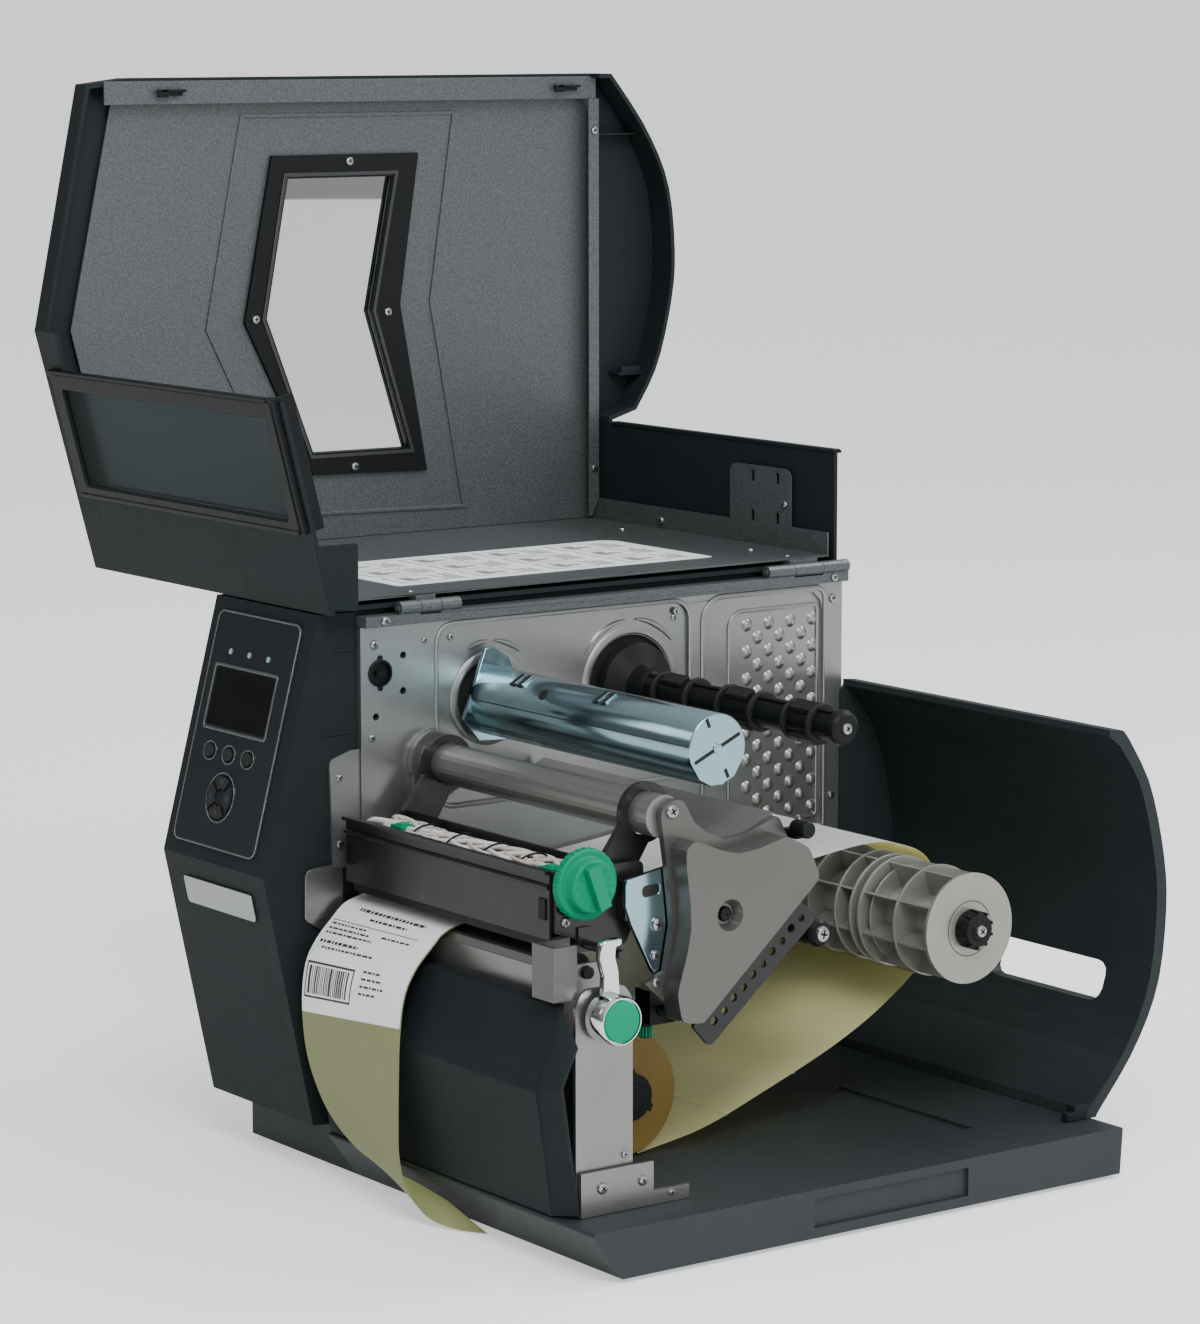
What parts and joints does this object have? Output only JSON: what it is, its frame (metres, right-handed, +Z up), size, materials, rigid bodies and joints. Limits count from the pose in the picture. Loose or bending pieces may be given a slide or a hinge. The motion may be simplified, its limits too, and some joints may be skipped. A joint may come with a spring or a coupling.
{
  "type": "industrial thermal-transfer label printer",
  "caption": "Desktop industrial label printer with its side cover swung open, showing spindles, print head, latch lever and a hanging label strip.",
  "frame": {"origin": "middle of the bottom of the whole object's box with the cover open, on the plane its feet stand on", "axes": "+X from the electronics box to the media side, -Y towards the operator in front, +Z up"},
  "size_m": [0.5476, 0.4846, 0.6511],
  "materials": {
    "charcoal_plastic": "lightly textured charcoal moulding",
    "black_plastic": "satin black",
    "green_plastic": "saturated green touch-point colour",
    "key_plastic": "silver-grey keys",
    "smoked_window": "smoky tinted pane",
    "clear_window": "clear pane",
    "cast_metal": "grey die casting",
    "wall_metal": "light grey",
    "hammered_steel": "hammered grey paint",
    "zinc_steel": "bluish zinc plate",
    "chrome": "polished",
    "rubber": "matt black",
    "circuit_board": "green board with black parts",
    "white_label": "white face stock",
    "liner_web": "pale web",
    "amber_liner": "wound amber liner",
    "wire": "pink and white insulation"
  },
  "bodies": {
    "chassis": {"base_pan": "charcoal_plastic", "base_plate": "zinc_steel", "rubber_foot_1": "rubber", "rubber_foot_2": "rubber", "rubber_foot_3": "rubber", "rubber_foot_4": "rubber", "center_wall": "wall_metal", "hinge_rail": "hammered_steel", "control_fascia": "charcoal_plastic", "display_bezel": "black_plastic", "display_board": "circuit_board", "electronics_cover": "charcoal_plastic", "power_supply": "zinc_steel", "main_board": "circuit_board", "power_inlet": "black_plastic", "port_panel": "zinc_steel", "stepper_motor": "black_plastic", "drive_belt": "rubber", "crossbar_tube": "cast_metal", "side_casting": "cast_metal", "ribbon_deflector": "cast_metal", "platen_frame": "hammered_steel", "guide_rod": "black_plastic", "sensor_rail": "zinc_steel", "web_guide_plate": "black_plastic", "latch_post": "wall_metal", "latch_guard": "wall_metal", "spindle_bearing_plate": "zinc_steel", "front_fascia": "charcoal_plastic", "rear_cover": "charcoal_plastic", "media_web": "liner_web", "label_strip": "white_label"},
    "cover": {"cover_shell": "charcoal_plastic", "visor_pane": "smoked_window", "cover_liner": "hammered_steel", "window_frame": "black_plastic", "window_pane": "clear_window"},
    "head": {"head_channel": "cast_metal", "print_head": "black_plastic", "head_wiring": "wire"},
    "leveling_knob_body": {"leveling_knob": "green_plastic"},
    "latch": {"latch_lever": "chrome", "latch_button": "green_plastic"},
    "ribbon_take_up": {"ribbon_take_up_hub": "zinc_steel"},
    "ribbon_supply": {"ribbon_supply_hub": "black_plastic"},
    "media_spindle": {"media_hub": "wall_metal", "media_hub_lock": "wall_metal"},
    "rewinder": {"rewind_spindle": "black_plastic", "label_roll": "amber_liner"},
    "platen": {"platen_roller": "rubber"},
    "motor_shaft": {"motor_pulley": "zinc_steel"},
    "sensor_slider": {"media_sensor": "green_plastic"},
    "rocker": {"power_switch": "black_plastic"},
    "soft_key_1_body": {"soft_key_1": "key_plastic"},
    "soft_key_2_body": {"soft_key_2": "key_plastic"},
    "soft_key_3_body": {"soft_key_3": "key_plastic"},
    "nav_key_up_body": {"nav_key_up": "key_plastic"},
    "nav_key_down_body": {"nav_key_down": "key_plastic"},
    "nav_key_left_body": {"nav_key_left": "key_plastic"},
    "nav_key_right_body": {"nav_key_right": "key_plastic"}
  },
  "joints": [
    {"name": "cover_hinge", "type": "hinge", "parent": "chassis", "child": "cover", "pos_m": [-0.00015, -0.00177, 0.3415], "axis": [0, 1, 0], "range_deg": [0, 180]},
    {"name": "latch_turn", "type": "hinge", "parent": "chassis", "child": "latch", "pos_m": [0.25285, -0.17707, 0.1435], "axis": [1, 0, 0], "range_deg": [0, 80]},
    {"name": "head_lift", "type": "hinge", "parent": "chassis", "child": "head", "pos_m": [0.11085, -0.12377, 0.247], "axis": [-1, 0, 0], "range_deg": [0, 24]},
    {"name": "leveling_turn", "type": "hinge", "parent": "head", "child": "leveling_knob_body", "pos_m": [0.22585, -0.17327, 0.2135], "axis": [1, 0, 0], "range_deg": [-160, 160]},
    {"name": "take_up_spin", "type": "hinge", "parent": "chassis", "child": "ribbon_take_up", "pos_m": [0.09585, -0.08157, 0.2807], "axis": [1, 0, 0], "continuous": true},
    {"name": "supply_spin", "type": "hinge", "parent": "chassis", "child": "ribbon_supply", "pos_m": [0.09585, 0.02423, 0.2795], "axis": [1, 0, 0], "continuous": true},
    {"name": "media_hub_spin", "type": "hinge", "parent": "chassis", "child": "media_spindle", "pos_m": [0.09585, 0.10323, 0.1545], "axis": [1, 0, 0], "continuous": true},
    {"name": "rewind_spin", "type": "hinge", "parent": "chassis", "child": "rewinder", "pos_m": [0.07585, -0.09877, 0.069], "axis": [1, 0, 0], "continuous": true},
    {"name": "platen_spin", "type": "hinge", "parent": "chassis", "child": "platen", "pos_m": [0.09585, -0.17027, 0.1627], "axis": [1, 0, 0], "continuous": true},
    {"name": "motor_spin", "type": "hinge", "parent": "chassis", "child": "motor_shaft", "pos_m": [-0.02015, -0.13977, 0.1145], "axis": [1, 0, 0], "continuous": true},
    {"name": "sensor_slide", "type": "slide", "parent": "chassis", "child": "sensor_slider", "axis": [1, 0, 0], "range_m": [-0.15, 0]},
    {"name": "power_rocker", "type": "hinge", "parent": "chassis", "child": "rocker", "pos_m": [-0.02715, 0.18523, 0.0645], "axis": [1, 0, 0], "range_deg": [-14, 0]},
    {"name": "soft_key_1_press", "type": "slide", "parent": "chassis", "child": "soft_key_1_body", "axis": [0, 0.9671, -0.2544], "range_m": [0, 0.0008], "stiffness_N_per_m": 300, "springref_m": -0.0003},
    {"name": "soft_key_2_press", "type": "slide", "parent": "chassis", "child": "soft_key_2_body", "axis": [0, 0.9671, -0.2544], "range_m": [0, 0.0008], "stiffness_N_per_m": 300, "springref_m": -0.0003},
    {"name": "soft_key_3_press", "type": "slide", "parent": "chassis", "child": "soft_key_3_body", "axis": [0, 0.9671, -0.2544], "range_m": [0, 0.0008], "stiffness_N_per_m": 300, "springref_m": -0.0003},
    {"name": "nav_key_up_press", "type": "slide", "parent": "chassis", "child": "nav_key_up_body", "axis": [0, 0.9671, -0.2544], "range_m": [0, 0.0008], "stiffness_N_per_m": 300, "springref_m": -0.0003},
    {"name": "nav_key_down_press", "type": "slide", "parent": "chassis", "child": "nav_key_down_body", "axis": [0, 0.9671, -0.2544], "range_m": [0, 0.0008], "stiffness_N_per_m": 300, "springref_m": -0.0003},
    {"name": "nav_key_left_press", "type": "slide", "parent": "chassis", "child": "nav_key_left_body", "axis": [0, 0.9671, -0.2544], "range_m": [0, 0.0008], "stiffness_N_per_m": 300, "springref_m": -0.0003},
    {"name": "nav_key_right_press", "type": "slide", "parent": "chassis", "child": "nav_key_right_body", "axis": [0, 0.9671, -0.2544], "range_m": [0, 0.0008], "stiffness_N_per_m": 300, "springref_m": -0.0003}
  ],
  "couplings": [
    {"joint": "head_lift", "follows": "latch_turn", "ratio": 0.3},
    {"joint": "motor_spin", "follows": "platen_spin", "ratio": 1.75}
  ]
}
